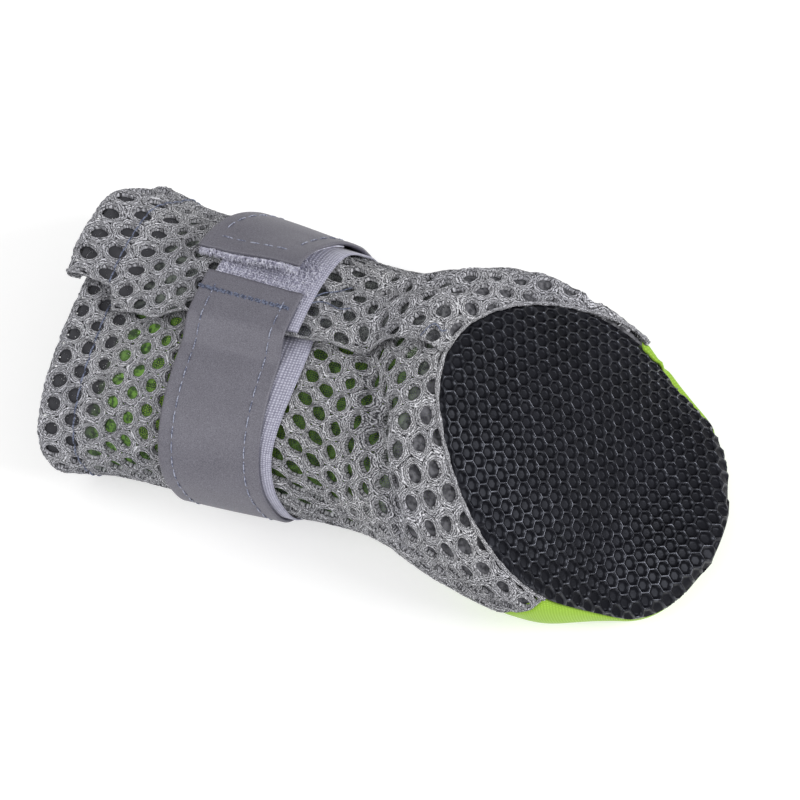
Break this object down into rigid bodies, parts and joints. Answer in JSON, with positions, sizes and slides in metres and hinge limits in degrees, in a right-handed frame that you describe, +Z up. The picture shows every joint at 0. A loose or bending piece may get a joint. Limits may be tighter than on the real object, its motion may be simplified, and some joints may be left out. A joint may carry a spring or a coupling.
{
  "type": "dog boot",
  "caption": "Soft mesh dog boot lying on its front, with a cupped dimpled outsole, a lapped back closure and a fastened strap on loop tape.",
  "frame": {"origin": "middle of the footprint box, on the surface the boot lies on", "axes": "+Z up, from the front of the shaft towards its back; -X towards the collar, +X towards the toe; -Y is the boot's left side"},
  "size_m": [0.1382, 0.0658, 0.0461],
  "materials": {
    "mesh": "grey open-hole knit with a lime stretch front",
    "tread_rubber": "black dimpled rubberised fabric",
    "loop_tape": "pale lavender woven tape with fuzzy pile",
    "reflective_band": "grey reflective coated band"
  },
  "bodies": {
    "root": {"upper": "mesh", "sole": "tread_rubber", "loop_tape": "loop_tape", "strap": "reflective_band", "hook_patch": "loop_tape"}
  },
  "joints": []
}
